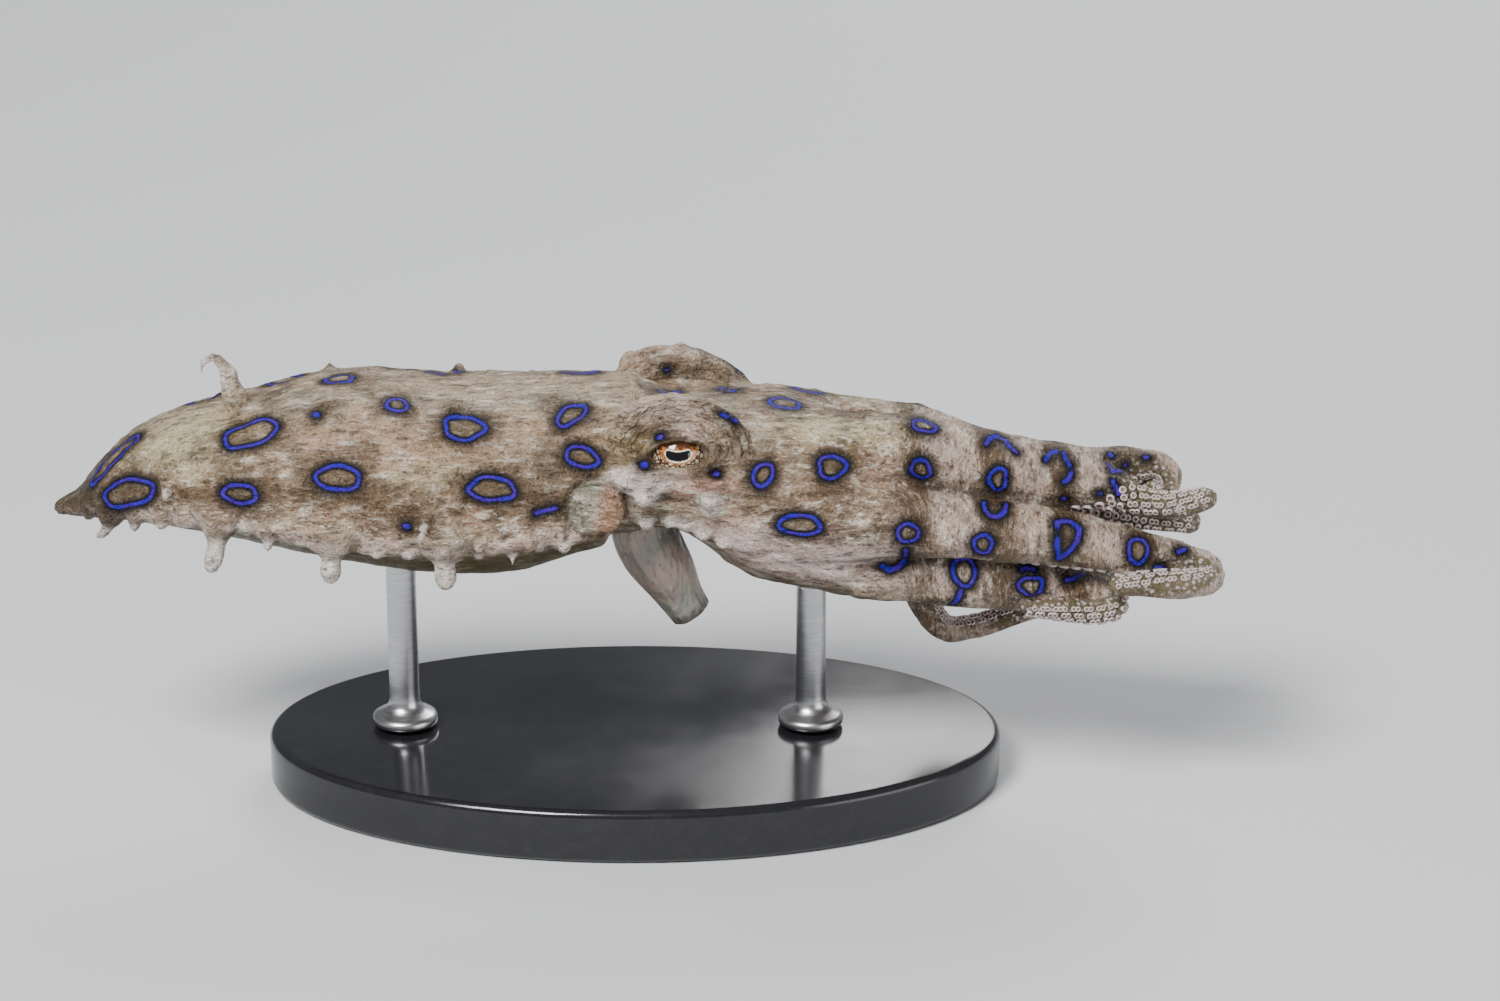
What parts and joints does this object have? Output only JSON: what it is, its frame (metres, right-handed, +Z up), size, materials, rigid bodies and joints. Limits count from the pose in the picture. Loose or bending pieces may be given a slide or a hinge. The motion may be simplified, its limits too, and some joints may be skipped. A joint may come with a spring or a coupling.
{
  "type": "blue ringed octopus",
  "caption": "Still life-size blue ringed octopus, swimming with its arms trailing together, on a low oval display stand with short rods.",
  "frame": {"origin": "middle of the stand's flat underside, at the bottom centre of the whole part", "axes": "+X towards the arm tips, with the mantle tip at -X; +Y towards the animal's left side; +Z up"},
  "size_m": [0.0844, 0.032, 0.0335],
  "materials": {
    "skin": "satin, moist and finely wrinkled tan skin with brown bands and blue rings",
    "eye": "glossy orange eye with a dark level pupil edged in cream",
    "funnel_skin": "thin, smooth, slightly translucent grey flesh",
    "stand_plate": "black acrylic with a polished bevel",
    "stand_rod": "brushed steel"
  },
  "bodies": {
    "root": {"arm_crown": "skin", "arm_left_1_root": "skin", "arm_left_1_tip": "skin", "arm_left_2_root": "skin", "arm_left_2_tip": "skin", "arm_left_3_root": "skin", "arm_left_3_tip": "skin", "arm_left_4_root": "skin", "arm_left_4_tip": "skin", "arm_right_1_root": "skin", "arm_right_1_tip": "skin", "arm_right_2_root": "skin", "arm_right_2_middle": "skin", "arm_right_2_tip": "skin", "arm_right_3_root": "skin", "arm_right_3_middle": "skin", "arm_right_3_tip": "skin", "arm_right_4_root": "skin", "arm_right_4_tip": "skin", "eye_left": "eye", "eye_right": "eye", "funnel": "funnel_skin", "head": "skin", "mantle": "skin", "stand_base": "stand_plate", "stand_rod_front": "stand_rod", "stand_rod_rear": "stand_rod"}
  },
  "joints": []
}
